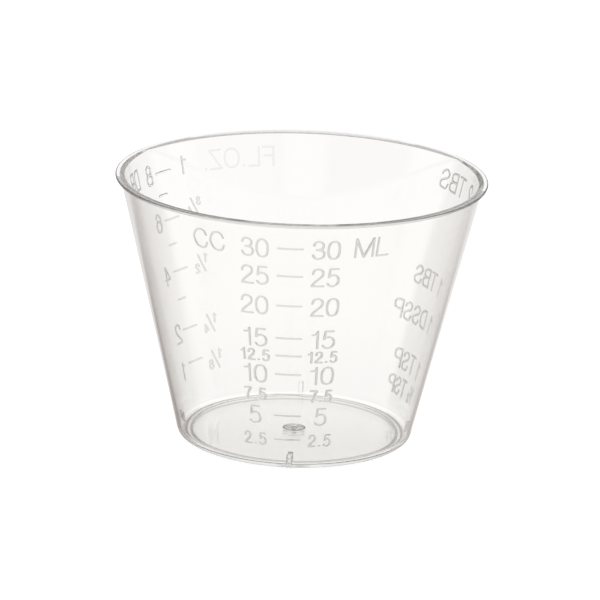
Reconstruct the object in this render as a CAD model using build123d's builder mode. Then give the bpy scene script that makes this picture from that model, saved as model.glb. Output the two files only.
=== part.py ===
from build123d import *
from math import cos, degrees, pi, radians, sin
import os

# Thirty millilitre medicine cup, injection moulded in one piece from clear polypropylene.
# All sizes are in millimetres. The cup stands on its foot ring, its axis is Z, and the
# millilitre scale faces -Y. Azimuths are degrees about Z, counted from -Y towards +X.

# Outside of the wall, up to where the lip stands out from it
wall_top_diameter = 45.1
base_diameter = 29.5
cup_height = 33.5

# Wall, measured straight across. It thins towards the base.
wall_at_rim = 0.62
wall_at_base = 0.5

# Lip around the mouth
lip_projection = 0.6
lip_thickness = 0.4
lip_edge_chamfer = 0.12
lip_root_chamfer = 0.12

# Base, raised off the table inside a foot ring
floor_thickness = 0.45
foot_recess = 0.12
foot_ring_width = 1.55
foot_step_width = 0.15
foot_corner_radius = 1.0
floor_corner_radius = 0.7

# Gate well in the middle of the base, and the stub that the gate leaves in it
gate_well_diameter = 2.9
gate_well_depth = 0.25
gate_stub_diameter = 0.6
gate_stub_clearance = 0.09

# Upright ribs inside the base that keep a nested cup from jamming
rib_count = 4
rib_width = 0.7
rib_depth = 0.47
rib_top = 2.1

# Raised lines of the two scales, with sloping sides that leave the mould freely
line_width = 0.28
line_crest_width = 0.14
line_height = 0.11
line_length = 3.3
short_line_length = 1.95
metric_marks_ml = (2.5, 5, 7.5, 10, 12.5, 15, 20, 25, 30)
metric_azimuth = 0
dram_ml = 3.6967
long_marks_dram = (1, 2, 4, 6, 8)
short_marks_dram = (3, 5, 7)
apothecary_azimuth = 238.5

# What follows from the sizes above
wall_top_radius = wall_top_diameter / 2
rim_radius = wall_top_radius + lip_projection
base_radius = base_diameter / 2
foot_inner_radius = base_radius - foot_ring_width
gate_radius = gate_well_diameter / 2
lip_underside = cup_height - lip_thickness
floor_top = foot_recess + floor_thickness
well_roof = foot_recess + gate_well_depth
outer_slope = (wall_top_radius - base_radius) / lip_underside
inner_slope = outer_slope - (wall_at_rim - wall_at_base) / lip_underside


def outer_radius(height):
    return base_radius + outer_slope * height


def inner_radius(height):
    return base_radius - wall_at_base + inner_slope * height


def filled_height(millilitres):
    # Level that a volume reaches inside the cone, so each line stands where it measures
    floor_radius = inner_radius(floor_top)
    cubic_mm = millilitres * 1000
    surface_radius = (floor_radius**3 + 3 * inner_slope * cubic_mm / pi) ** (1 / 3)
    return floor_top + (surface_radius - floor_radius) / inner_slope


def lines_for(azimuth, amounts, unit_ml, start):
    # Azimuth, level and start of each line, for the amounts that the cup can hold
    highest_line = lip_underside - lip_root_chamfer - line_width
    levels = [filled_height(amount * unit_ml) for amount in amounts]
    return [(azimuth, level, start) for level in levels if level < highest_line]


def radial_plane(azimuth):
    # Upright plane through the axis: its x runs outwards and its y runs up
    turn = radians(azimuth)
    return Plane(
        origin=(0, 0, 0),
        x_dir=(sin(turn), -cos(turn), 0),
        z_dir=(-cos(turn), -sin(turn), 0),
    )


def facing_plane(azimuth):
    # Upright plane at the axis that faces outwards: its x runs around and its y runs up
    turn = radians(azimuth)
    return Plane(
        origin=(0, 0, 0),
        x_dir=(cos(turn), sin(turn), 0),
        z_dir=(sin(turn), -cos(turn), 0),
    )


# Ribs: round-topped blades, of which only a thin layer on the inside of the wall is kept
with BuildPart() as rib_blades:
    for blade in range(rib_count):
        with BuildSketch(facing_plane(blade * 360 / rib_count)):
            straight_height = rib_top - rib_width / 2
            with Locations((0, straight_height / 2)):
                Rectangle(rib_width, straight_height)
            with Locations((0, straight_height)):
                Circle(rib_width / 2)
        extrude(amount=rim_radius)

with BuildPart() as ribs:
    with BuildSketch(Plane.XZ):
        with BuildLine():
            Polyline(
                (inner_radius(foot_recess) - rib_depth, foot_recess),
                (inner_radius(foot_recess) + wall_at_base / 2, foot_recess),
                (inner_radius(rib_top) + wall_at_base / 2, rib_top),
                (inner_radius(rib_top) - rib_depth, rib_top),
                close=True,
            )
        make_face()
    revolve(axis=Axis.Z)
    add(rib_blades.part, mode=Mode.INTERSECT)

# Scale lines: low ridges that follow the wall, each at the level that it measures
line_root = wall_at_base / 2
line_start = -line_length / 2
line_end = line_length / 2
short_start = line_end - short_line_length
scale_lines = lines_for(metric_azimuth, metric_marks_ml, unit_ml=1, start=line_start)
scale_lines += lines_for(apothecary_azimuth, long_marks_dram, dram_ml, line_start)
scale_lines += lines_for(apothecary_azimuth, short_marks_dram, dram_ml, short_start)

with BuildPart() as raised_lines:
    for azimuth, level, start in scale_lines:
        wall_radius = outer_radius(level)
        start_azimuth = azimuth + degrees(start / wall_radius)
        with BuildSketch(radial_plane(start_azimuth)):
            with BuildLine():
                low = level - line_width / 2
                high = level + line_width / 2
                crest = outer_radius(level) + line_height
                Polyline(
                    (outer_radius(low) - line_root, low),
                    (outer_radius(low), low),
                    (crest, level - line_crest_width / 2),
                    (crest, level + line_crest_width / 2),
                    (outer_radius(high), high),
                    (outer_radius(high) - line_root, high),
                    close=True,
                )
            make_face()
        revolve(axis=Axis.Z, revolution_arc=degrees((line_end - start) / wall_radius))

# The cup itself: half of its section, revolved about its axis
with BuildPart() as cup:
    with BuildSketch(Plane.XZ) as section:
        with BuildLine():
            TangentArc((0, well_roof), (gate_radius, foot_recess), tangent=(1, 0))
            Polyline(
                (gate_radius, foot_recess),
                (foot_inner_radius - foot_step_width, foot_recess),
                (foot_inner_radius, 0),
                (base_radius, 0),
                (wall_top_radius, lip_underside),
                (rim_radius, lip_underside),
                (rim_radius, cup_height),
                (inner_radius(cup_height), cup_height),
                (inner_radius(floor_top), floor_top),
                (gate_radius, floor_top),
            )
            TangentArc(
                (0, floor_top + gate_well_depth), (gate_radius, floor_top), tangent=(1, 0)
            )
            Line((0, floor_top + gate_well_depth), (0, well_roof))
        make_face()
        rounded_corners = (
            (base_radius, 0, foot_corner_radius),
            (inner_radius(floor_top), floor_top, floor_corner_radius),
        )
        for across, up, radius in rounded_corners:
            fillet(section.vertices().sort_by_distance((across, up))[0], radius)
        broken_corners = (
            (wall_top_radius, lip_underside, lip_root_chamfer),
            (rim_radius, lip_underside, lip_edge_chamfer),
            (rim_radius, cup_height, lip_edge_chamfer),
            (inner_radius(cup_height), cup_height, lip_edge_chamfer),
        )
        for across, up, length in broken_corners:
            chamfer(section.vertices().sort_by_distance((across, up))[0], length)
    revolve(axis=Axis.Z)
    with Locations((0, 0, gate_stub_clearance)):
        Cylinder(
            gate_stub_diameter / 2,
            well_roof + floor_thickness / 2 - gate_stub_clearance,
            align=(Align.CENTER, Align.CENTER, Align.MIN),
        )
    add(ribs.part)
    add(raised_lines.part)

cup.part.label = "cup"
os.makedirs("parts", exist_ok=True)
export_step(cup.part, "parts/cup.step")
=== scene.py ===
import math

import bpy
import numpy as np
from mathutils import Matrix, Vector
from mathutils.geometry import delaunay_2d_cdt


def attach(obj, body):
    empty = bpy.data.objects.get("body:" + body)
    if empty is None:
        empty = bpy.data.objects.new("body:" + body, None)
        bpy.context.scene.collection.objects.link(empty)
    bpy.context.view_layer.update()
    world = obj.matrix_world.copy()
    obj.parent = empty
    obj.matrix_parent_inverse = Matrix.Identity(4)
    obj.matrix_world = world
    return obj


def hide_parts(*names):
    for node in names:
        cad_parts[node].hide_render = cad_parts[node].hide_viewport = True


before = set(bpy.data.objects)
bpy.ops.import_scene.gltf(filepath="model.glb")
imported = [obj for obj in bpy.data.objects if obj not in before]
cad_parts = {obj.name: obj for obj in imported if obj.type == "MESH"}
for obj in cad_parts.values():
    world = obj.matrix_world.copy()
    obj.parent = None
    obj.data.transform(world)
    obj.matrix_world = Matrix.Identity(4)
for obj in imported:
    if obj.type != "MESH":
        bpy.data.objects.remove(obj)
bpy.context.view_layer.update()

# Clear polypropylene
# The whole cup is one shot of clear polypropylene from a polished mould. The signs, parts of the
# lip and of the front rib, the steps of the foot and the gate come from duller parts of the mould,
# and there the plastic also has a darker grey colour that is painted shade.


def srgb(code):
    """A hex colour as the linear RGBA that a shader socket takes."""
    parts = [int(code[i : i + 2], 16) / 255 for i in (0, 2, 4)]
    linear = [c / 12.92 if c <= 0.04045 else ((c + 0.055) / 1.055) ** 2.4 for c in parts]
    return (*linear, 1.0)


def add_node(tree, kind, *in_order, **named):
    """A new node. Names in small letters are its settings and names with a capital its sockets.
    A socket takes a number, a colour, another socket, or a node for that node's first output."""
    node = tree.nodes.new("ShaderNode" + kind)
    for name, value in named.items():
        if name.islower():
            setattr(node, name, value)
    wanted = list(zip([socket for socket in node.inputs if socket.enabled], in_order))
    wanted += [(node.inputs[n.replace("_", " ")], value) for n, value in named.items() if not n.islower()]
    for socket, value in wanted:
        if isinstance(value, bpy.types.Node):
            value = next(output for output in value.outputs if output.enabled)
        if isinstance(value, bpy.types.NodeSocket):
            tree.links.new(value, socket)
        else:
            socket.default_value = value
    return node


def polypropylene(finish, colour, roughness):
    """The plastic in one finish, in a colour that is darker for the duller finishes as painted shade.
    Light on its way to the table passes it nearly whole, which keeps the cup's shadow as pale as a
    thin clear wall's."""
    material = bpy.data.materials.new(finish + " polypropylene")
    material.use_nodes = True
    tree = material.node_tree
    tree.nodes.clear()
    plastic = add_node(
        tree,
        "BsdfPrincipled",
        Base_Color=srgb(colour),
        Roughness=roughness,
        IOR=1.49,
        Transmission_Weight=1.0,
    )
    see_through = add_node(tree, "BsdfTransparent", srgb("f4f3f1"))
    path = add_node(tree, "LightPath")
    surface = add_node(tree, "MixShader", path.outputs["Is Shadow Ray"], plastic, see_through)
    add_node(tree, "OutputMaterial", surface)
    return material


# Polished: glossy and almost colourless, and grey only where the light runs along a wall.
clear_pp = polypropylene("clear", "fefefd", 0.03)
# Etched: scatters what shines through it, and its soft grey colour is painted shade, so the signs,
# the lip's front and the gate dome read as soft grey.
matt_shaded_pp = polypropylene("matt_shaded", "d2d0cd", 0.26)
# Lightly etched: blurs an edge, and a painted shade greys it a little, on FL.OZ. and high on the
# front rib's sides.
satin_shaded_pp = polypropylene("satin_shaded", "ebeae8", 0.12)
# Left as cut: scatters nearly all the light, and its dark grey colour is painted shade. Together
# they give a dark line at the steps of the foot, round the gate, low on the front rib's sides and in
# the corner under the back of the lip.
rough_shaded_pp = polypropylene("rough_shaded", "98948f", 0.45)
FINISHES = (clear_pp, matt_shaded_pp, satin_shaded_pp, rough_shaded_pp)
CLEAR, MATT_SHADED, SATIN_SHADED, ROUGH_SHADED = range(4)

# Wall
# A thin moulded cone, wider at the mouth, with four stacking ribs inside its base. It is laid out
# flat first, so that what stands on it keeps its true width, and is rolled up further down.

# Lengths are in millimetres. Azimuths are in degrees from the front, -Y, towards +X.
BASE_RADIUS, WALL_TOP_RADIUS = 14.75, 22.55
LIP_UNDERSIDE, HEIGHT = 33.1, 33.5
SLOPE = (WALL_TOP_RADIUS - BASE_RADIUS) / LIP_UNDERSIDE
SIN, COS = math.sin(math.atan(SLOPE)), math.cos(math.atan(SLOPE))

# The laid-out part stops short of the foot's curve and of the lip's. It is cut open at the seam.
WALL_LOW, WALL_HIGH = 1.3, 32.93
SEAM, MIDDLE = -195, -15

# Columns of points run up the cup, evenly, and closer together on the flanks of each rib.
RIB_AZIMUTHS = (-180, -90, 1, 90)
RIB_OFFSETS = (0.45, 0.8, 0.9, 1.0, 1.09, 1.18, 1.27, 1.36, 1.5, 1.8)
CLEAR_OF_RIB = 2.2
EVEN_COLUMNS = 240


def turn_between(a, b):
    """The shorter turn from azimuth b to azimuth a."""
    return (a - b + 180) % 360 - 180


columns = [rib + offset for rib in RIB_AZIMUTHS for offset in (0, *RIB_OFFSETS, *(-o for o in RIB_OFFSETS))]
for step in range(EVEN_COLUMNS):
    even = SEAM + 360 * step / EVEN_COLUMNS
    if all(abs(turn_between(even, rib)) > CLEAR_OF_RIB for rib in RIB_AZIMUTHS):
        columns.append(even)
columns.sort()


def outer_radius(z):
    """The outside of the wall at that height."""
    return BASE_RADIUS + SLOPE * z


def flat(azimuth, z):
    """Where a point of the wall lies on the laid-out cone."""
    reach = outer_radius(z) / SIN
    turn = math.radians(azimuth - MIDDLE) * SIN
    return np.array([reach * math.sin(turn), reach * math.cos(turn)])


def placed(strokes, azimuth, z):
    """Strokes about a point of the wall, x to the right and y up, on the laid-out cone."""
    turn = math.radians(azimuth - MIDDLE) * SIN
    right = np.array([math.cos(turn), -math.sin(turn)])
    up = np.array([math.sin(turn), math.cos(turn)])
    origin = flat(azimuth, z)
    return [np.array([origin + x * right + y * up for x, y in stroke]) for stroke in strokes]


def arc_to_azimuth(arc, z):
    """A length along the wall as a turn about the axis."""
    return math.degrees(arc / outer_radius(z))


# Raised signs and lines
# The scales are moulded with the wall, cut into the mould with a round-nosed tool. Each sign is a
# few strokes in a box one unit high, and each stroke a straight line, a smooth curve or an oval.

BEAD_HALF_WIDTH = 0.152


def smooth(points):
    """A curve through the points, as a dense polyline."""
    p = [np.array(point, float) for point in points]
    longer = [2 * p[0] - p[1], *p, 2 * p[-1] - p[-2]]
    curve = []
    for a, b, c, d in zip(longer, longer[1:], longer[2:], longer[3:]):
        first, second, third = c - a, 2 * a - 5 * b + 4 * c - d, 3 * b - 3 * c + d - a
        for t in np.arange(0, 1, 0.125):
            curve.append(0.5 * (2 * b + first * t + second * t**2 + third * t**3))
    return [*curve, p[-1]]


def oval(x, y, width, height, squareness=2.2):
    """A closed oval about a point, a little squarer than an ellipse."""
    turn = np.linspace(0, 2 * math.pi, 49)
    c, s = np.cos(turn), np.sin(turn)
    across = x + width / 2 * np.sign(c) * np.abs(c) ** (2 / squareness)
    up = y + height / 2 * np.sign(s) * np.abs(s) ** (2 / squareness)
    return list(np.column_stack([across, up]))


# Each sign's width and strokes.
SIGNS = {
    "0": (0.56, [oval(0.28, 0.5, 0.56, 1.0, 2.4)]),
    "1": (0.34, [[(0.28, 0), (0.28, 1)], smooth([(0.03, 0.79), (0.15, 0.8), (0.24, 0.87), (0.28, 1.0)])]),
    "2": (0.56, [
        smooth([(0.02, 0.72), (0.06, 0.88), (0.17, 0.98), (0.3, 1.0), (0.45, 0.94), (0.53, 0.79),
                (0.49, 0.61), (0.36, 0.45), (0.18, 0.28), (0.05, 0.13), (0.0, 0.0)]),
        [(0, 0), (0.55, 0)],
    ]),
    "3": (0.56, [
        smooth([(0.03, 0.78), (0.1, 0.94), (0.26, 1.0), (0.44, 0.93), (0.51, 0.77), (0.44, 0.59),
                (0.28, 0.53), (0.2, 0.53)]),
        smooth([(0.28, 0.53), (0.48, 0.46), (0.56, 0.28), (0.48, 0.08), (0.27, 0.0), (0.09, 0.06),
                (0.0, 0.22)]),
    ]),
    "4": (0.58, [[(0.42, 0), (0.42, 1)], [(0.42, 1), (0, 0.28)], [(0, 0.28), (0.58, 0.28)]]),
    "5": (0.56, [
        [(0.5, 1), (0.11, 1)], [(0.11, 1), (0.06, 0.53)],
        smooth([(0.06, 0.53), (0.16, 0.62), (0.3, 0.65), (0.47, 0.57), (0.56, 0.33), (0.48, 0.1),
                (0.28, 0.0), (0.12, 0.03), (0.02, 0.15)]),
    ]),
    "6": (0.56, [
        smooth([(0.51, 0.8), (0.43, 0.95), (0.29, 1.0), (0.1, 0.88), (0.01, 0.6), (0.0, 0.33),
                (0.08, 0.1), (0.28, 0.0), (0.48, 0.1), (0.56, 0.32), (0.48, 0.54), (0.29, 0.62),
                (0.09, 0.52), (0.01, 0.38)]),
    ]),
    "7": (0.54, [[(0, 1), (0.54, 1)], smooth([(0.54, 1), (0.37, 0.7), (0.24, 0.35), (0.18, 0)])]),
    "8": (0.56, [oval(0.28, 0.765, 0.46, 0.47), oval(0.28, 0.265, 0.56, 0.53)]),
    ".": (0.1, [[(0.03, 0.05), (0.07, 0.05)]]),
    "B": (0.56, [
        [(0, 0), (0, 1)], [(0, 1), (0.32, 1)], [(0, 0.53), (0.32, 0.53)], [(0, 0), (0.34, 0)],
        smooth([(0.32, 1), (0.46, 0.95), (0.51, 0.77), (0.45, 0.58), (0.32, 0.53)]),
        smooth([(0.32, 0.53), (0.5, 0.46), (0.57, 0.27), (0.5, 0.07), (0.34, 0)]),
    ]),
    "C": (0.66, [
        smooth([(0.65, 0.72), (0.55, 0.93), (0.35, 1.0), (0.12, 0.88), (0.0, 0.5), (0.12, 0.12),
                (0.35, 0.0), (0.56, 0.07), (0.66, 0.3)]),
    ]),
    "D": (0.62, [
        [(0, 0), (0, 1)], [(0, 1), (0.26, 1)], [(0, 0), (0.26, 0)],
        smooth([(0.26, 1), (0.5, 0.9), (0.62, 0.5), (0.5, 0.1), (0.26, 0)]),
    ]),
    "F": (0.5, [[(0, 0), (0, 1)], [(0, 1), (0.5, 1)], [(0, 0.53), (0.44, 0.53)]]),
    "L": (0.5, [[(0, 1), (0, 0)], [(0, 0), (0.5, 0)]]),
    "M": (0.74, [[(0, 0), (0, 1)], [(0, 1), (0.37, 0)], [(0.37, 0), (0.74, 1)], [(0.74, 1), (0.74, 0)]]),
    "O": (0.72, [oval(0.36, 0.5, 0.72, 1.0)]),
    "P": (0.58, [
        [(0, 0), (0, 1)], [(0, 1), (0.34, 1)], [(0, 0.47), (0.34, 0.47)],
        smooth([(0.34, 1), (0.51, 0.94), (0.58, 0.74), (0.51, 0.53), (0.34, 0.47)]),
    ]),
    "R": (0.6, [
        [(0, 0), (0, 1)], [(0, 1), (0.36, 1)], [(0, 0.5), (0.36, 0.5)], [(0.34, 0.5), (0.6, 0)],
        smooth([(0.36, 1), (0.52, 0.94), (0.58, 0.76), (0.52, 0.56), (0.36, 0.5)]),
    ]),
    "S": (0.58, [
        smooth([(0.54, 0.76), (0.45, 0.94), (0.28, 1.0), (0.1, 0.94), (0.03, 0.77), (0.12, 0.61),
                (0.3, 0.53), (0.48, 0.43), (0.57, 0.26), (0.48, 0.06), (0.28, 0.0), (0.09, 0.06),
                (0.0, 0.26)]),
    ]),
    "T": (0.62, [[(0, 1), (0.62, 1)], [(0.31, 1), (0.31, 0)]]),
    "Z": (0.6, [[(0.02, 1), (0.59, 1)], [(0.59, 1), (0, 0)], [(0, 0), (0.6, 0)]]),
    " ": (0.26, []),
}
SIGN_GAP, DECIMAL_GAP = 0.2, 0.36


def write(text, azimuth, z, height, width=None):
    """A line of signs centred at a point of the wall. Height and width include the bead."""
    gap = DECIMAL_GAP if ".5" in text else SIGN_GAP
    rise = height - 2 * BEAD_HALF_WIDTH
    advance = [SIGNS[sign][0] for sign in text]
    natural = sum(advance) * rise + gap * rise * (len(text) - 1)
    spread = ((width - 2 * BEAD_HALF_WIDTH) / natural) if width else 1
    x = -natural * spread / 2
    strokes = []
    for sign, w in zip(text, advance):
        centre = x + w * rise * spread / 2
        box = [[((px - w / 2) * rise * spread, (py - 0.5) * rise) for px, py in s] for s in SIGNS[sign][1]]
        strokes += placed(box, azimuth + arc_to_azimuth(centre, z), z)
        x += (w + gap) * rise * spread
    return strokes


def bar(azimuth, z, start, end):
    """A scale line."""
    centre = azimuth + arc_to_azimuth((start + end) / 2, z)
    half = (end - start) / 2 - BEAD_HALF_WIDTH
    return placed([[(x, 0) for x in np.linspace(-half, half, 9)]], centre, z)


def fraction(top, bottom, azimuth, z, height):
    """Two small figures either side of a slanting bar."""
    small = height * 0.54
    lift = (height - small) / 2
    lean, half = height * 0.2, height / 2 - 0.14
    aside = arc_to_azimuth(height * 0.27 + 0.15, z)
    upper = write(top, azimuth - aside, z + lift, small)
    slash = placed([[(-lean, -half), (lean, half)]], azimuth, z)
    lower = write(bottom, azimuth + aside, z - lift, small)
    return upper + slash + lower


def in_turn(azimuth):
    """The same azimuth in the turn that starts at the seam."""
    return azimuth - 360 if azimuth > SEAM + 360 else azimuth


# A label is its strokes, how far its beads stand out, and its finish. Any finish but the clear one also
# greys the label with painted shade.
labels = []
LINE_END = 1.65

# Millilitres at the front, on both sides of a line: figure, level, height, width and arc from the
# line. The lower ones stand out more, and so do those on the right.
for text, z, height, width, arc in (
    ("30", 30.25, 2.65, 3.5, 4.33), ("25", 26.59, 2.65, 3.5, 4.3), ("20", 22.59, 2.65, 3.5, 4.3),
    ("15", 18.18, 2.65, 3.05, 4.15), ("12.5", 15.77, 1.75, 3.75, 4.15), ("10", 13.21, 2.65, 3.05, 4.1),
    ("7.5", 10.38, 1.85, 2.85, 4.05), ("5", 7.47, 2.65, None, 4.05), ("2.5", 4.13, 1.88, 2.95, 3.99),
):
    depth = 0.11 if z < 11 else 0.065 if z < 20 else 0.05
    for side, bolder in ((-1, 1), (1, 1.4)):
        figure = write(text, side * arc_to_azimuth(arc, z), z - 0.1, height, width)
        labels.append((figure, depth * bolder, MATT_SHADED))
    labels.append((bar(0, z, -LINE_END, LINE_END), depth / 2, MATT_SHADED))
for text, arc, width, depth in (("CC", -10.35, 4.4, 0.045), ("ML", 10.1, 4.6, 0.075)):
    labels.append((write(text, arc_to_azimuth(arc, 30.3), 30.3, 2.75, width), depth, MATT_SHADED))

# How far the beads of the other labels stand out.
DEEP, HIGH, MIDDLING, LOW, FAINT, FINE = 0.11, 0.08, 0.07, 0.035, 0.03, 0.02

# Dram lines at the back left: level and start of each.
for z, start in (
    (30.0, -LINE_END), (27.2, -0.3), (24.22, -LINE_END), (21.1, -0.3),
    (17.72, -LINE_END), (14.15, -0.3), (10.3, -LINE_END), (6.05, -LINE_END),
):
    look = (HIGH, CLEAR) if z > 26 else (FINE, MATT_SHADED)
    labels.append((bar(in_turn(238.5), z, start, LINE_END), *look))

# Ounces and drams at the back left, spoons at the back right: azimuth, level, height and width.
for text, azimuth, z, height, width, depth, finish in (
    ("FL.OZ.", 205.8, 30.2, 2.7, 10.1, FINE, SATIN_SHADED), ("1", 227.6, 30.2, 2.5, None, LOW, MATT_SHADED),
    ("8", 247.1, 30.1, 2.7, None, HIGH, CLEAR), ("DR", 259.9, 30.4, 2.75, 3.7, MIDDLING, MATT_SHADED),
    ("6", 247.6, 24.2, 2.6, None, LOW, MATT_SHADED), ("4", 248.6, 17.6, 2.6, None, LOW, MATT_SHADED),
    ("2", 248.5, 10.1, 2.7, None, LOW, MATT_SHADED), ("1", 249.5, 5.4, 2.5, None, LOW, MATT_SHADED),
    ("2 TBS", 114.5, 30.4, 2.65, 10.4, MIDDLING, MATT_SHADED), ("1 TBS", 116.9, 18.1, 2.5, 8.5, MIDDLING, MATT_SHADED),
    ("1 DSSP", 120.8, 13.2, 2.55, 10.6, MIDDLING, MATT_SHADED), ("1 TSP", 116.9, 7.2, 2.6, 8.2, MIDDLING, MATT_SHADED),
):
    labels.append((write(text, in_turn(azimuth), z, height, width), depth, finish))
for top, bottom, azimuth, z, height, depth in (
    ("3", "4", 225.3, 24.9, 2.3, FAINT), ("1", "2", 225.6, 17.8, 2.5, FAINT),
    ("1", "4", 224.8, 10.1, 2.5, FAINT), ("1", "8", 224.5, 5.5, 2.6, FAINT),
    ("1", "2", 106.6, 3.9, 2.4, DEEP),
):
    labels.append((fraction(top, bottom, in_turn(azimuth), z, height), depth, MATT_SHADED))
labels.append((write("TSP", 123.0, 3.9, 2.4, 4.6), DEEP, MATT_SHADED))

segments = []
for label, _, _ in labels:
    for stroke in label:
        segments += [(a, b) for a, b in zip(stroke[:-1], stroke[1:]) if np.hypot(*(b - a)) > 1e-6]
segments = np.array(segments)

# Only strokes within REACH of the points' box are looked at, for a BATCH of points at a time. FAR
# stands for no stroke near.
FAR, REACH, BATCH = 9.0, 0.4, 4000


def nearest(points):
    """For each point its distance and vector from the nearest stroke, or FAR where none is near."""
    low, high = points.min(0) - REACH, points.max(0) + REACH
    near = segments[(segments.max(1) >= low).all(1) & (segments.min(1) <= high).all(1)]
    best = np.full(len(points), FAR)
    vector = np.full((len(points), 2), FAR)
    if len(near) == 0:
        return best, vector
    a, along = near[:, 0], near[:, 1] - near[:, 0]
    for k in range(0, len(points), BATCH):
        p = points[k : k + BATCH, None]
        t = np.clip(((p - a) * along).sum(2) / (along**2).sum(1), 0, 1)
        d = p - a - t[..., None] * along
        length = np.hypot(d[..., 0], d[..., 1])
        pick = length.argmin(1)
        rows = np.arange(len(pick))
        best[k : k + BATCH] = length[rows, pick]
        vector[k : k + BATCH] = d[rows, pick]
    return best, vector


STROKE_STEP = 0.145
BEAD_ROWS = (0.055, 0.1, 0.132, BEAD_HALF_WIDTH, 0.182, 0.25)


def bead_rows(stroke):
    """Points along a stroke and round its ends, in rows either side of its centre line."""
    steps = np.hypot(*np.diff(stroke, axis=0).T)
    run = np.concatenate([[0], np.cumsum(steps)])
    count = max(2, int(math.ceil(run[-1] / STROKE_STEP)) + 1)
    at = np.linspace(0, run[-1], count)
    centre = np.column_stack([np.interp(at, run, stroke[:, k]) for k in (0, 1)])
    tangent = np.gradient(centre, axis=0)
    tangent /= np.hypot(*tangent.T)[:, None] + 1e-12
    normal = np.column_stack([-tangent[:, 1], tangent[:, 0]])
    rows = [(0.0, centre)]
    for d in BEAD_ROWS:
        rows += [(d, centre + d * normal), (d, centre - d * normal)]
        for end, out in ((centre[0], -tangent[0]), (centre[-1], tangent[-1])):
            fan = math.atan2(out[1], out[0]) + np.linspace(-math.pi / 2, math.pi / 2, 9 if d > 0.1 else 5)
            rows.append((d, end + d * np.column_stack([np.cos(fan), np.sin(fan)])))
    return rows


# A point that lies nearer to another stroke than to its own belongs to that one and is left out.
marks = []
for label, depth, finish in labels:
    rows = [row for stroke in label for row in bead_rows(stroke)]
    points = np.vstack([p for d, p in rows])
    own_distance = np.concatenate([np.full(len(p), d) for d, p in rows])
    distance, vector = nearest(points)
    keep = distance > own_distance - 0.004
    count = keep.sum()
    marks.append((points[keep], distance[keep], vector[keep], np.full(count, depth), np.full(count, finish)))
marks = [np.concatenate(part) for part in zip(*marks)]

# Where strokes meet, points that nearly touch are thinned out. The one nearest to a stroke stays.
THINNING = 0.02
taken, chosen = set(), []
for i in np.argsort(marks[1], kind="stable"):
    across, up = np.round(marks[0][i] / THINNING).astype(int)
    if not any((across + dx, up + dy) in taken for dx in (0, 1, -1) for dy in (0, 1, -1)):
        taken.add((across, up))
        chosen.append(i)
mark_points, mark_distance, mark_vector, mark_depth, mark_finish = (part[chosen] for part in marks)

# Outside of the wall
# The laid-out cone is meshed between its edges, with the rows of points along the strokes in it.
# Rolled up again, each point is lifted by its bead's height and tilted by its bead's slope.

GRID_ROWS = 27
CLEAR_OF_STROKE = 0.3
levels = np.linspace(WALL_LOW, WALL_HIGH, GRID_ROWS)
grid = np.array([flat(a, z) for z in levels[1:-1] for a in columns[1:]])
grid = grid[nearest(grid)[0] > CLEAR_OF_STROKE]
closing = columns + [SEAM + 360]
low_edge = [flat(a, WALL_LOW) for a in closing]
high_edge = [flat(a, WALL_HIGH) for a in closing]
left_edge = [flat(SEAM, z) for z in levels[1:-1]]
right_edge = [flat(SEAM + 360, z) for z in levels[1:-1]]
loop = low_edge + right_edge + high_edge[::-1] + left_edge[::-1]
loop_edges = [(i, (i + 1) % len(loop)) for i in range(len(loop))]
laid_out = np.vstack([np.array(loop), grid, mark_points])
plain = len(loop) + len(grid)
from_stroke = np.concatenate([np.full(plain, FAR), mark_distance])
stroke_vector = np.vstack([np.zeros((plain, 2)), mark_vector])
bead_height = np.concatenate([np.zeros(plain), mark_depth])
bead_finish = np.concatenate([np.full(plain, CLEAR), mark_finish])
INSIDE_LOOP, CLOSENESS = 1, 1e-6
_, _, wall_faces, came_from, _, _ = delaunay_2d_cdt(
    [Vector(p) for p in laid_out], loop_edges, [], INSIDE_LOOP, CLOSENESS
)

turn = np.arctan2(laid_out[:, 0], laid_out[:, 1])
azimuth = np.radians(MIDDLE) + turn / SIN
radius = np.hypot(laid_out[:, 0], laid_out[:, 1]) * SIN
sine, cosine = np.sin(azimuth), np.cos(azimuth)
outward = np.column_stack([COS * sine, -COS * cosine, np.full(len(azimuth), -SIN)])
around = np.column_stack([cosine, sine, np.zeros(len(azimuth))])
uphill = np.column_stack([SIN * sine, -SIN * cosine, np.full(len(azimuth), COS)])
foot = np.column_stack([radius * sine, -radius * cosine, (radius - BASE_RADIUS) / SLOPE])

# A bead's section is a parabola. Its edge is eased: there the slope is halved.
share = np.clip(from_stroke / BEAD_HALF_WIDTH, 0, 1)
lift = bead_height * (1 - share**2)
on_bead = from_stroke < BEAD_HALF_WIDTH * 1.02
slope = np.where(on_bead, -2 * bead_height * share / BEAD_HALF_WIDTH, 0)
slope = np.where(share > 0.97, slope * 0.5, slope)
unit = stroke_vector / (np.hypot(*stroke_vector.T)[:, None] + 1e-9)
to_right = unit[:, 0] * np.cos(turn) - unit[:, 1] * np.sin(turn)
to_up = unit[:, 0] * np.sin(turn) + unit[:, 1] * np.cos(turn)
wall_points = foot + outward * lift[:, None]
wall_normals = outward - around * (slope * to_right)[:, None] - uphill * (slope * to_up)[:, None]
wall_normals /= np.linalg.norm(wall_normals, axis=1)[:, None]

# Lip, inside of the wall and floor
# The rest of the cup is one section turned about its axis. It starts at the top of the wall and
# goes over the thin flat lip and down the inside, past the ribs, to the floor and its gate dome.

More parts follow.
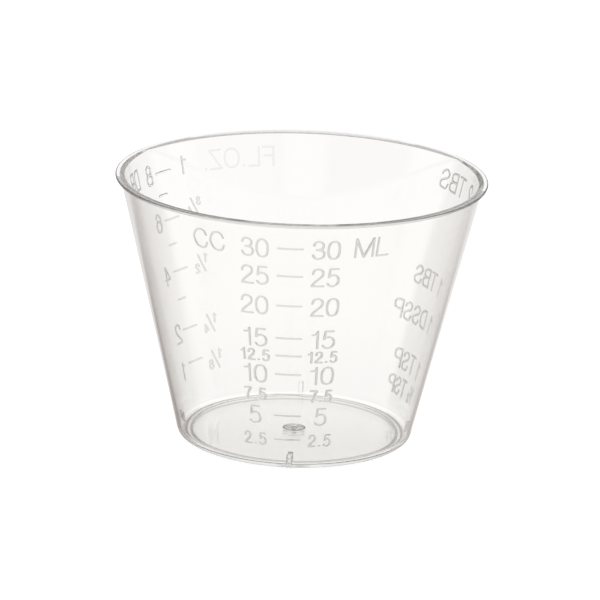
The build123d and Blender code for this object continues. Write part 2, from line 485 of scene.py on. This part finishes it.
WALL_AT_RIM, WALL_AT_BASE = 0.62, 0.5
INNER_SLOPE = SLOPE - (WALL_AT_RIM - WALL_AT_BASE) / LIP_UNDERSIDE
LIP_RADIUS = WALL_TOP_RADIUS + 0.6
RIB_WIDTH, RIB_DEPTH, RIB_TOP, RIB_EASE = 0.7, 0.47, 2.1, 0.1
RIB_LEVELS = (3.0, 2.5, 2.3, 2.2, 2.14, 2.1, 2.06, 2.02, 1.96, 1.88, 1.8, 1.7, 1.6, 1.45)
FLOOR_TOP, FLOOR_RADIUS = 0.57, 13.45
GATE_RADIUS, GATE_RISE, GATE_FILLET, DOME_RADIUS = 1.45, 0.25, 0.12, 1.2


def inner_radius(z):
    """The inside of the wall at that height."""
    return BASE_RADIUS - WALL_AT_BASE + INNER_SLOPE * z


def square_to(run):
    """The outward normal of a section that runs that way."""
    return np.array([run[1], -run[0]]) / np.hypot(*run)


def rounded(corners, spacing=1.3):
    """A section with round corners, as rows of (r, z, normal r, normal z). A corner is (r, z, its
    radius, its steps). The first and the last are only where the section starts and stops."""
    points = [np.array(corner[:2], float) for corner in corners]
    ends = [[points[0], points[0]]]
    for before, point, after, corner in zip(points, points[1:], points[2:], corners[1:]):
        back, onward = before - point, after - point
        back /= np.hypot(*back)
        onward /= np.hypot(*onward)
        cut = corner[2] / math.tan(math.acos(np.clip(back @ onward, -1, 1)) / 2)
        ends.append([point + back * cut, point + onward * cut])
    ends.append([points[-1], points[-1]])
    rows = []
    for i, (arrive, leave) in enumerate(ends[:-1]):
        if i:
            corner_radius, steps = corners[i][2:]
            n = square_to(points[i] - arrive)
            m = square_to(leave - points[i])
            bend = math.atan2(n[0] * m[1] - n[1] * m[0], n @ m)
            centre = arrive - n * corner_radius * np.sign(bend)
            for t in np.linspace(0, 1, steps + 1):
                c, s = math.cos(bend * t), math.sin(bend * t)
                normal = np.array([c * n[0] - s * n[1], s * n[0] + c * n[1]])
                rows.append((*(centre + normal * corner_radius * np.sign(bend)), *normal))
        run = ends[i + 1][0] - leave
        count = int(np.hypot(*run) / spacing)
        for t in np.arange(1, count + 1) / (count + 1):
            rows.append((*(leave + run * t), *square_to(run)))
    return rows


def eased(start, corner, end, steps=16, pull=0.84):
    """A corner whose curve grows and dies away, so that no line shows where it meets the flat."""
    a, c, b = (np.array(p, float) for p in (start, corner, end))
    p1, p2 = a + pull * (c - a), b + pull * (c - b)
    rows = []
    for t in np.linspace(0, 1, steps + 1):
        point = (1 - t) ** 3 * a + 3 * (1 - t) ** 2 * t * p1 + 3 * (1 - t) * t**2 * p2 + t**3 * b
        run = 3 * (1 - t) ** 2 * (p1 - a) + 6 * (1 - t) * t * (p2 - p1) + 3 * t**2 * (b - p2)
        rows.append((*point, *square_to(run)))
    return rows


lip_and_wall = rounded([
    (outer_radius(WALL_HIGH), WALL_HIGH),
    (WALL_TOP_RADIUS, LIP_UNDERSIDE, 0.13, 5),
    (LIP_RADIUS, LIP_UNDERSIDE, 0.22, 8),
    (LIP_RADIUS, HEIGHT, 0.17, 7),
    (inner_radius(HEIGHT), HEIGHT, 0.4, 10),
    (inner_radius(RIB_LEVELS[0]), RIB_LEVELS[0]),
])
past_ribs = [(inner_radius(z), z, -1.0, INNER_SLOPE) for z in RIB_LEVELS]

# The gate dome in the floor and the well's roof under it are parts of equal balls.
ball = (GATE_RADIUS**2 + GATE_RISE**2) / (2 * GATE_RISE)
dome_centre = FLOOR_TOP + GATE_RISE - ball


def over_centre(r):
    """How high the ball stands over its centre at that radius."""
    return math.sqrt(ball**2 - r * r)


dome = [(r, dome_centre + over_centre(r)) for r in (DOME_RADIUS, 0.9, 0.6, 0.3)]
floor_corner = (inner_radius(FLOOR_TOP), FLOOR_TOP)
floor = eased((inner_radius(RIB_LEVELS[-1]), RIB_LEVELS[-1]), floor_corner, (FLOOR_RADIUS, FLOOR_TOP))[1:]
floor += rounded([(FLOOR_RADIUS, FLOOR_TOP), (GATE_RADIUS, FLOOR_TOP, GATE_FILLET, 5), dome[0]], 0.8)[:-1]
floor += [(r, z, r / ball, (z - dome_centre) / ball) for r, z in dome]
inside = [(outer_radius(WALL_HIGH), WALL_HIGH, 1.0, -SLOPE)] + lip_and_wall + past_ribs + floor


def rib_share(across, z):
    """1 on top of a rib, 0 beside it."""
    d = np.hypot(across, np.maximum(0, z - (RIB_TOP - RIB_WIDTH / 2)))
    t = np.clip((RIB_WIDTH / 2 - 0.02 - d) / RIB_EASE, 0, 1)
    return t * t * (3 - 2 * t)


def turned(rows):
    """The rows of a section turned about the axis: points, normals and shares of a rib. A point
    that a rib pushes in gets no normal here, and takes the mesh's own at the end."""
    points, normals, shares = [], [], []
    for r, z, nr, nz in rows:
        low_inside = 0.3 < z < 2.6 and r > 10 and nr < 0.2 and r < inner_radius(z) + 0.01
        for a in columns:
            t = math.radians(a)
            stands_at, share = r, 0.0
            if low_inside:
                off_rib = min((turn_between(a, rib) for rib in RIB_AZIMUTHS), key=abs)
                share = rib_share(math.radians(off_rib) * r, z)
                stands_at = min(r, inner_radius(z) - RIB_DEPTH * share)
            n = np.array([nr * math.sin(t), -nr * math.cos(t), nz])
            points.append((stands_at * math.sin(t), -stands_at * math.cos(t), z))
            normals.append((n / np.linalg.norm(n)) if stands_at > r - 1e-6 else (0, 0, 0))
            shares.append(share)
    return points, normals, shares


# The lip's edge and underside are etched and painted grey as shade round the front, 80 degrees
# either way. Round the back they are clear, and the rows of the corner between wall and lip are
# left as cut and painted dark, a painted shade in that corner.
LIP_ZONE, ETCHED_TO, CORNER_ROWS = 32, 80, (2, 3, 4)
# The front rib's sides are left as cut and painted dark below RIB_FOOT, and lightly etched and painted grey
# above it: painted shade.
FLANK_SHARE, RIB_FOOT = 0.15, 1.7
# Within ETCHED_DOME the gate dome is etched and painted grey, and out to the gate's edge left as cut and
# painted dark: painted shade.
ETCHED_DOME = 1.21


def inside_finish(rows, j, column, shares):
    """The finish of a face from row j to the next, by the column and the rib's shares round it. The
    duller finishes also carry painted shade.
    """
    r, z = rows[j][:2]
    if z > LIP_ZONE and abs(turn_between(column, 0)) > ETCHED_TO:
        return ROUGH_SHADED if j in CORNER_ROWS else CLEAR
    if z > LIP_ZONE:
        edge = r > WALL_TOP_RADIUS + 0.42
        beneath = r > WALL_TOP_RADIUS + 0.02 and z < HEIGHT - 0.1
        return MATT_SHADED if edge or beneath else CLEAR
    on_flank = max(shares) - min(shares) > FLANK_SHARE
    if on_flank and abs(column) < 10:
        return ROUGH_SHADED if z < RIB_FOOT else SATIN_SHADED
    return MATT_SHADED if r < ETCHED_DOME else ROUGH_SHADED if r < GATE_RADIUS else CLEAR


# Foot ring, underside and gate stub
# Under the floor is a shallow recess inside the ring that the cup stands on. In its middle is the
# gate's well, and in that the stub where the runner was snapped off.

RECESS = 0.12
STUB_RADIUS, STUB_END = 0.3, 0.09
WELL_ROOF = RECESS + GATE_RISE

stub = [(0.12, STUB_END, 0.0, -1.0)]
stub += rounded([
    (0.0, STUB_END),
    (STUB_RADIUS, STUB_END, 0.06, 4),
    (STUB_RADIUS, WELL_ROOF - 0.01, 0.03, 3),
    (0.5, WELL_ROOF - 0.022),
], 0.3)[:-1]
well = [(r, WELL_ROOF - ball + over_centre(r), -r / ball, -over_centre(r) / ball) for r in (0.55, 0.85, 1.15)]
ring = rounded([
    well[-1][:2],
    (GATE_RADIUS, RECESS, GATE_FILLET, 5),
    (12.83, RECESS, 0.04, 2),
    (13.2, 0.0, 0.04, 2),
    (13.52, 0.0, 0.04, 2),
    (13.88, 0.06, 0.04, 2),
    (13.94, 0.06),
], 0.8)[1:]
foot_corner = (outer_radius(0.06), 0.06)
ring += eased((13.94, 0.06), foot_corner, (outer_radius(WALL_LOW), WALL_LOW))
underside = stub + well + ring


def underside_finish(rows, j, column, shares):
    """The finish of a face from row j to the next: the ring's sloping steps and the stub are left as
    cut and painted dark as shade.
    """
    r, z = rows[j][:2]
    next_r, next_z = rows[j + 1][:2]
    on_step = 0.01 < (z + next_z) / 2 < RECESS - 0.01 and 12.74 < r < 13.86
    on_stub = next_r < STUB_RADIUS + 0.02
    return ROUGH_SHADED if on_step or on_stub else CLEAR


# One closed skin
# The cup is a single moulding, so its wall, inside and underside are joined into one mesh. They
# share their rings of points, and nothing is left open.

BEAD_FOOT = 0.157
vertices = [tuple(p) for p in wall_points]
normals = [tuple(n) for n in wall_normals]
faces = [tuple(came_from[v][0] for v in f) for f in wall_faces]
finish_of = []
for face in faces:
    on_bead = max(from_stroke[v] for v in face) < BEAD_FOOT
    finish_of.append(int(max(bead_finish[v] for v in face)) if on_bead else CLEAR)

n = len(columns)
for rows, finish, centre_z, up in (
    (inside, inside_finish, FLOOR_TOP + GATE_RISE, True),
    (underside, underside_finish, STUB_END, False),
):
    first = len(vertices)
    points, point_normals, shares = turned(rows)
    vertices += points
    normals += point_normals
    for j in range(len(rows) - 1):
        for i in range(n):
            a, b = first + j * n + i, first + j * n + (i + 1) % n
            face = (a, b, b + n, a + n)
            faces.append(face)
            finish_of.append(finish(rows, j, columns[i], [shares[v - first] for v in face]))
    centre = len(vertices)
    vertices.append((0, 0, centre_z))
    normals.append((0, 0, 1 if up else -1))
    last_ring = first + (len(rows) - 1) * n if up else first
    for i in range(n):
        a, b = last_ring + i, last_ring + (i + 1) % n
        faces.append((a, b, centre) if up else (b, a, centre))
        finish_of.append(CLEAR)

# Points closer than about WELD, in metres, become one. A face that has no area left is dropped.
MM, WELD = 0.001, 4e-7
places = np.array(vertices) * MM
neighbours = [(dx, dy, dz) for dx in (0, 1, -1) for dy in (0, 1, -1) for dz in (0, 1, -1)]
welded, index, kept = {}, [], []
for i, (x, y, z) in enumerate(np.round(places / WELD).astype(np.int64).tolist()):
    cells = [(x + dx, y + dy, z + dz) for dx, dy, dz in neighbours]
    near = [welded[cell] for cell in cells if cell in welded]
    if near:
        index.append(near[0])
    else:
        welded[x, y, z] = len(kept)
        index.append(len(kept))
        kept.append(i)
faces = [tuple(dict.fromkeys(index[v] for v in face)) for face in faces]
finish_of = [finish for finish, face in zip(finish_of, faces) if len(face) > 2]
faces = [face for face in faces if len(face) > 2]

mesh = bpy.data.meshes.new("clear cup")
mesh.from_pydata([tuple(places[i]) for i in kept], [], faces)
cup = bpy.data.objects.new("clear_cup", mesh)
bpy.context.collection.objects.link(cup)
bpy.ops.object.select_all(action="DESELECT")
cup.select_set(True)
bpy.context.view_layer.objects.active = cup
bpy.ops.object.mode_set(mode="EDIT")
bpy.ops.mesh.select_all(action="SELECT")
bpy.ops.mesh.normals_make_consistent(inside=False)
bpy.ops.object.mode_set(mode="OBJECT")
for polygon in mesh.polygons:
    polygon.use_smooth = True
    polygon.material_index = finish_of[polygon.index]
own_normals = np.zeros(len(mesh.vertices) * 3)
mesh.vertices.foreach_get("normal", own_normals)
wanted = np.array([normals[i] for i in kept])
unset = np.linalg.norm(wanted, axis=1) < 0.5
wanted[unset] = own_normals.reshape(-1, 3)[unset]
mesh.normals_split_custom_set_from_vertices([tuple(normal) for normal in wanted])
for finish in FINISHES:
    mesh.materials.append(finish)
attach(cup, "root")
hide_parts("cup")

# Table
# A white acrylic sheet, cast glossy, that runs on behind the cup. To the eye it is as bright as the
# backdrop, with the plastic's faint shadow. Through the plastic, or mirrored in it, it shines with
# its gloss and with a painted warm glow of light, brighter behind the cup and under its back than
# under its front, and with painted light round the foot where the plastic mirrors it.

SHEET_HALF, SHEET_DROP = 3.0, 0.0001
EASED = {"interpolation_type": "SMOOTHSTEP"}
sheet_corners = [(x * SHEET_HALF, y * SHEET_HALF, 0) for x, y in ((-1, -1), (1, -1), (1, 1), (-1, 1))]
sheet_mesh = bpy.data.meshes.new("white sheet")
sheet_mesh.from_pydata(sheet_corners, [], [(0, 1, 2, 3)])
sheet = bpy.data.objects.new("white_sheet", sheet_mesh)
bpy.context.collection.objects.link(sheet)
sheet.location.z = -SHEET_DROP
acrylic = bpy.data.materials.new("white sheet")
acrylic.use_nodes = True
tree = acrylic.node_tree
tree.nodes.clear()
path = add_node(tree, "LightPath")
white = add_node(tree, "BsdfDiffuse", srgb("d0d0d0"))
glow = add_node(tree, "Emission", srgb("ffffff"), 0.64)
in_view = add_node(tree, "AddShader", white, glow)
gloss = add_node(tree, "BsdfGlossy", Color=srgb("e7e7e7"), Roughness=0.03)

# The painted glow by place, in metres. A map takes a value, two places and what it gives at each of
# them.
place = add_node(tree, "NewGeometry").outputs["Position"]
from_axis = add_node(tree, "VectorMath", place, operation="LENGTH")
depth_in = add_node(tree, "SeparateXYZ", place).outputs["Y"]
# Painted light in a ring round the foot, only where the plastic mirrors the sheet.
fading = add_node(tree, "MapRange", from_axis, 0.028, 0.05, 0.2, 0.0, **EASED)
mirrored = add_node(tree, "Math", fading, path.outputs["Is Reflection Ray"], operation="MULTIPLY")
past_foot = add_node(tree, "Math", from_axis, 0.0155, operation="GREATER_THAN")
painted_light_round_foot = add_node(tree, "Math", mirrored, past_foot, operation="MULTIPLY")
# Painted light under the cup, stronger towards its back, on a painted glow all round it.
all_round = add_node(tree, "MapRange", from_axis, 0.016, 0.06, 0.16, 0.22, **EASED)
beneath = add_node(tree, "MapRange", from_axis, 0.0148, 0.0156, 1.0, 0.0, **EASED)
to_back = add_node(tree, "MapRange", depth_in, -0.008, 0.014, 0.035, 0.16, **EASED)
painted_light_under_cup = add_node(tree, "Math", beneath, to_back, all_round, operation="MULTIPLY_ADD")
painted_glow_strength = add_node(tree, "Math", painted_light_round_foot, painted_light_under_cup, operation="ADD")
# The painted glow itself: warm light that the sheet gives off, though it is no lamp.
painted_glow = add_node(tree, "Emission", srgb("f8f0ec"), painted_glow_strength)
off_plastic = add_node(tree, "AddShader", gloss, painted_glow)
surface = add_node(tree, "MixShader", path.outputs["Is Camera Ray"], off_plastic, in_view)
add_node(tree, "OutputMaterial", surface)
sheet_mesh.materials.append(acrylic)

# Light
# A plain white studio, nearly even where it is seen through the plastic. What the plastic mirrors
# of it is a warm grey room with a white band some 11 to 22 degrees above and below the horizon, a
# white ceiling, four upright cards and a window towards +X. The camera sees plain white.

CARDS_TURNED = math.radians(1.5)
DIM, WHITE = srgb("5a4c44"), srgb("ffffff")
studio = bpy.data.worlds.new("studio")
bpy.context.scene.world = studio
studio.use_nodes = True
tree = studio.node_tree
tree.nodes.clear()
path = add_node(tree, "LightPath")
towards = add_node(tree, "SeparateXYZ", add_node(tree, "TexCoord").outputs["Generated"])
forward = add_node(tree, "Math", towards.outputs["Y"], -1.0, operation="MULTIPLY")
heading = add_node(tree, "Math", towards.outputs["X"], forward, operation="ARCTAN2")
from_card = add_node(tree, "Math", heading, CARDS_TURNED, operation="SUBTRACT")
four_turns = add_node(tree, "Math", from_card, 4.0, operation="MULTIPLY")
four_waves = add_node(tree, "Math", four_turns, operation="COSINE")
cards = add_node(tree, "MapRange", four_waves, 0.15, 0.88, 0.0, 1.0, **EASED)
eight_turns = add_node(tree, "Math", from_card, 8.0, operation="MULTIPLY")
eight_waves = add_node(tree, "Math", eight_turns, operation="COSINE")
evenness = add_node(tree, "MapRange", eight_waves, -0.6, 0.44, 0.68, 1.0, **EASED)

# Heights are sines of the angle above or below the horizon.
rise = add_node(tree, "Math", towards.outputs["Z"], operation="ABSOLUTE")
band_foot = add_node(tree, "MapRange", rise, 0.187, 0.213, 0.0, 1.0, **EASED)
band_top = add_node(tree, "MapRange", rise, 0.353, 0.386, 1.0, 0.0, **EASED)
band = add_node(tree, "Math", band_foot, band_top, operation="MULTIPLY")
band = add_node(tree, "Math", band, evenness, operation="MULTIPLY")
ceiling = add_node(tree, "MapRange", rise, 0.45, 0.66, 0.0, 1.0, **EASED)
window = add_node(tree, "MapRange", towards.outputs["X"], 0.05, 0.6, 0.04, 0.5, **EASED)
mirrored = band
for light in (ceiling, cards, window):
    mirrored = add_node(tree, "Math", mirrored, light, operation="MAXIMUM")
low_light = add_node(tree, "MapRange", rise, 0.15, 0.25, 1.0, 0.8, **EASED)
overhead = add_node(tree, "MapRange", rise, 0.75, 0.9, 0.0, 1.0, **EASED)
direct = add_node(tree, "Math", low_light, overhead, operation="MAXIMUM")
seen = add_node(tree, "Math", direct, path.outputs["Is Camera Ray"], operation="MAXIMUM")
seen_through = add_node(tree, "Background", Color=WHITE, Strength=seen)
tone = add_node(tree, "Mix", mirrored, DIM, WHITE, data_type="RGBA")
on_the_surface = add_node(tree, "Background", tone)
room = add_node(tree, "MixShader", path.outputs["Is Reflection Ray"], seen_through, on_the_surface)
add_node(tree, "OutputWorld", room)

# Light that stays inside the thin wall bounces many times before it leaves.
BOUNCES = 32
for limit in ("max_bounces", "glossy_bounces", "transmission_bounces"):
    setattr(bpy.context.scene.cycles, limit, BOUNCES)

# Camera
# The photo's own view, solved from the rim, the base and the levels of the scale. The focal
# length is in pixels of the photo's frame.

DISTANCE, FOCAL_PIXELS, FRAME_PIXELS = 0.4726, 3725.3, 600
elevation, side = math.radians(18.992), math.radians(2.908)
pan, tilt, roll = math.radians(0.03), math.radians(2.006), math.radians(1.807)
level = math.cos(elevation)
place = Vector((level * math.sin(side), -level * math.cos(side), math.sin(elevation))) * DISTANCE
ahead = -place.normalized()
right = ahead.cross(Vector((0, 0, 1))).normalized()
up = right.cross(ahead)


def swung(a, b, angle):
    """Two axes turned together, the first towards the second."""
    return a * math.cos(angle) + b * math.sin(angle), b * math.cos(angle) - a * math.sin(angle)


ahead, right = swung(ahead, right, pan)
ahead, up = swung(ahead, up, tilt)
right, up = swung(right, up, roll)
lens = bpy.data.cameras.new("camera")
lens.lens = lens.sensor_width * FOCAL_PIXELS / FRAME_PIXELS
lens.clip_start = 0.01
camera = bpy.data.objects.new("camera", lens)
camera.matrix_world = Matrix((
    (right.x, up.x, -ahead.x, place.x),
    (right.y, up.y, -ahead.y, place.y),
    (right.z, up.z, -ahead.z, place.z),
    (0, 0, 0, 1),
))
bpy.context.collection.objects.link(camera)
bpy.context.scene.camera = camera
bpy.context.scene.view_settings.view_transform = "Standard"
